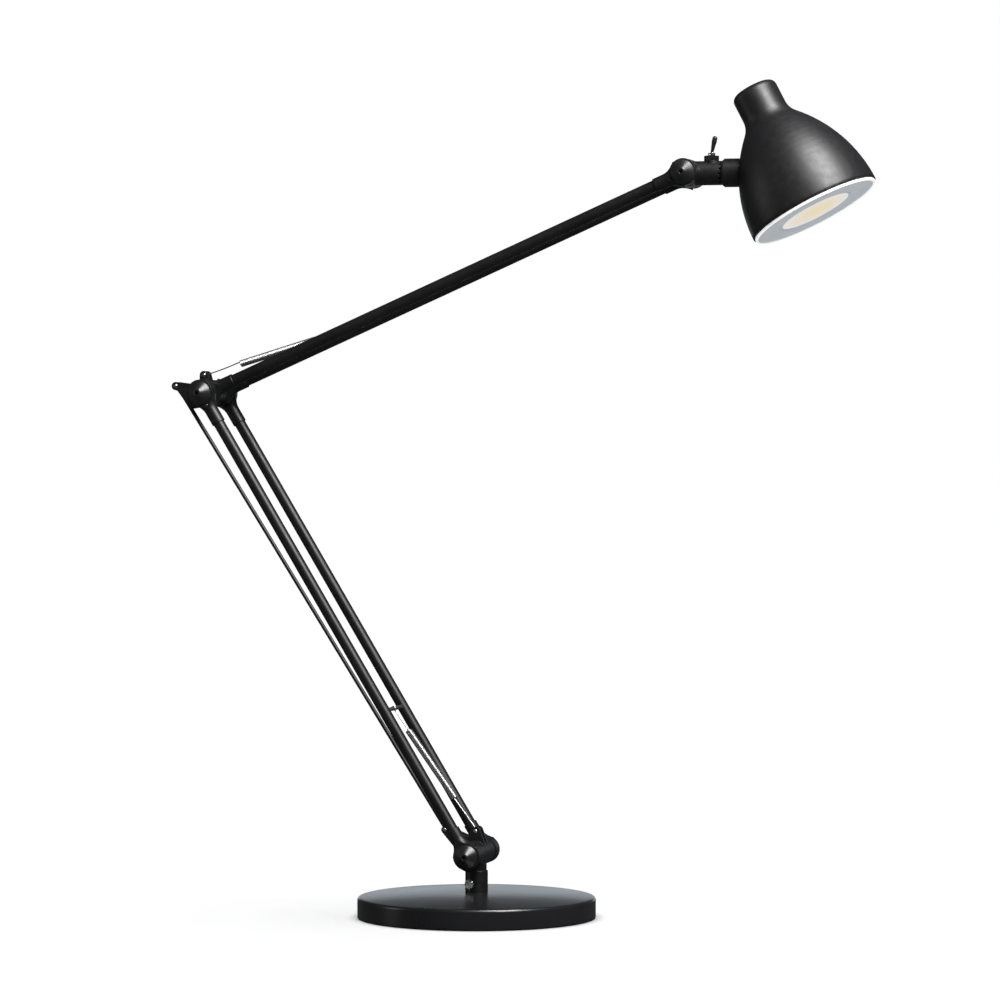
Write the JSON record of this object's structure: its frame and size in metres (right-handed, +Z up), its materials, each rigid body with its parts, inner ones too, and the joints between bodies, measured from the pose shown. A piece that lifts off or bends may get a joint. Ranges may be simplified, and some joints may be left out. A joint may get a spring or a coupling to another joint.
{
  "type": "swing arm desk lamp",
  "caption": "Swing-arm desk lamp: weighted round base, sprung tube arms, a tie rod to a levelling elbow bracket, and a bell shade with an LED insert on a tilting, turning head.",
  "frame": {"origin": "centre of the round base on the table top", "axes": "+Z up; the arms swing in the XZ plane, with the elbow towards -X and the shade towards +X; -Y is the side seen in the picture"},
  "size_m": [0.6021, 0.2, 0.6966],
  "materials": {
    "rubber_pad": "matt",
    "cast_iron_weight": "rough cast",
    "gloss_black_enamel": "gloss enamel",
    "black_rubber": "matt",
    "zinc_steel": "zinc plated",
    "nylon": "black, moulded",
    "chrome_screw": "polished",
    "spring_steel": "bright plated",
    "black_plastic": "semi-gloss",
    "satin_black_paint": "satin",
    "shade_paint": "fine satin powder coat",
    "white_plastic": "semi-gloss",
    "grey_plate": "matt painted",
    "pale_plastic": "semi-gloss",
    "warm_diffuser": "frosted",
    "led_board": "white solder mask",
    "bare_aluminium": "as cast"
  },
  "bodies": {
    "base": {"base_pad": "rubber_pad", "base_weight": "cast_iron_weight", "base_cover": "gloss_black_enamel", "cord_grommet": "black_rubber", "post": "satin_black_paint", "post_nut": "zinc_steel", "swivel_bush": "nylon", "clamp_screw": "chrome_screw"},
    "yoke": {"yoke": "satin_black_paint", "spring_anchor_pin": "zinc_steel", "rod_pivot_pin": "zinc_steel", "lower_spring_hook": "spring_steel"},
    "lower_arm": {"base_knuckle_near": "satin_black_paint", "base_knuckle_far": "satin_black_paint", "base_axle": "zinc_steel", "base_cap_near": "black_plastic", "base_cap_far": "black_plastic", "lower_tube_near": "satin_black_paint", "lower_tube_far": "satin_black_paint", "lower_cross_pin": "zinc_steel", "lower_spring": "spring_steel", "elbow_knuckle_near": "satin_black_paint", "elbow_knuckle_far": "satin_black_paint", "elbow_axle": "zinc_steel", "elbow_cap_near": "black_plastic", "elbow_cap_far": "black_plastic", "lower_set_screws": "zinc_steel"},
    "tie_rod": {"tie_rod": "satin_black_paint"},
    "elbow_bracket": {"elbow_bracket": "satin_black_paint", "elbow_spring_pin": "zinc_steel", "elbow_rod_pin": "zinc_steel", "upper_spring_hook": "spring_steel"},
    "upper_arm": {"upper_knuckle_near": "satin_black_paint", "upper_knuckle_far": "satin_black_paint", "upper_tube_near": "satin_black_paint", "upper_tube_far": "satin_black_paint", "upper_cross_pin": "zinc_steel", "upper_spring": "spring_steel", "head_knuckle_near": "satin_black_paint", "head_knuckle_far": "satin_black_paint", "head_axle": "zinc_steel", "head_cap_near": "black_plastic", "head_cap_far": "black_plastic"},
    "head": {"head_stem": "satin_black_paint", "switch_body": "zinc_steel", "switch_nut": "black_plastic"},
    "switch_lever": {"switch_lever": "black_plastic"},
    "shade": {"shade_collar": "satin_black_paint", "shade": "shade_paint", "lip_ring": "white_plastic", "led_plate": "grey_plate", "diffuser_ring": "pale_plastic", "diffuser": "warm_diffuser", "led_board": "led_board", "heat_sink": "bare_aluminium"}
  },
  "joints": [
    {"name": "base_swivel", "type": "hinge", "parent": "base", "child": "yoke", "pos_m": [0, 0, 0.04], "axis": [0, 0, 1], "range_deg": [-170, 170]},
    {"name": "lower_arm_tilt", "type": "hinge", "parent": "yoke", "child": "lower_arm", "pos_m": [0, 0, 0.054], "axis": [0, 1, 0], "range_deg": [-8, 40], "deforming": ["lower_spring_hook"]},
    {"name": "tie_rod_swing", "type": "hinge", "parent": "yoke", "child": "tie_rod", "pos_m": [-0.02634, 0, 0.07321], "axis": [0, 1, 0], "range_deg": [-10, 43]},
    {"name": "elbow_level", "type": "hinge", "parent": "lower_arm", "child": "elbow_bracket", "pos_m": [-0.23177, 0, 0.43972], "axis": [0, 1, 0], "range_deg": [-32, 8]},
    {"name": "upper_arm_tilt", "type": "hinge", "parent": "elbow_bracket", "child": "upper_arm", "pos_m": [-0.23177, 0, 0.43972], "axis": [0, 1, 0], "range_deg": [-40, 50], "deforming": ["upper_spring_hook"]},
    {"name": "head_tilt", "type": "hinge", "parent": "upper_arm", "child": "head", "pos_m": [0.18044, 0, 0.62024], "axis": [0, 1, 0], "range_deg": [-60, 75]},
    {"name": "shade_turn", "type": "hinge", "parent": "head", "child": "shade", "pos_m": [0.18044, 0, 0.62024], "axis": [1, 0, 0], "range_deg": [-150, 150]},
    {"name": "switch_toggle", "type": "hinge", "parent": "head", "child": "switch_lever", "pos_m": [0.20004, 0, 0.63564], "axis": [0, 1, 0], "range_deg": [-24, 0]}
  ],
  "couplings": [
    {"joint": "tie_rod_swing", "follows": "lower_arm_tilt", "ratio": 1.0297},
    {"joint": "elbow_level", "follows": "lower_arm_tilt", "ratio": -0.733}
  ]
}
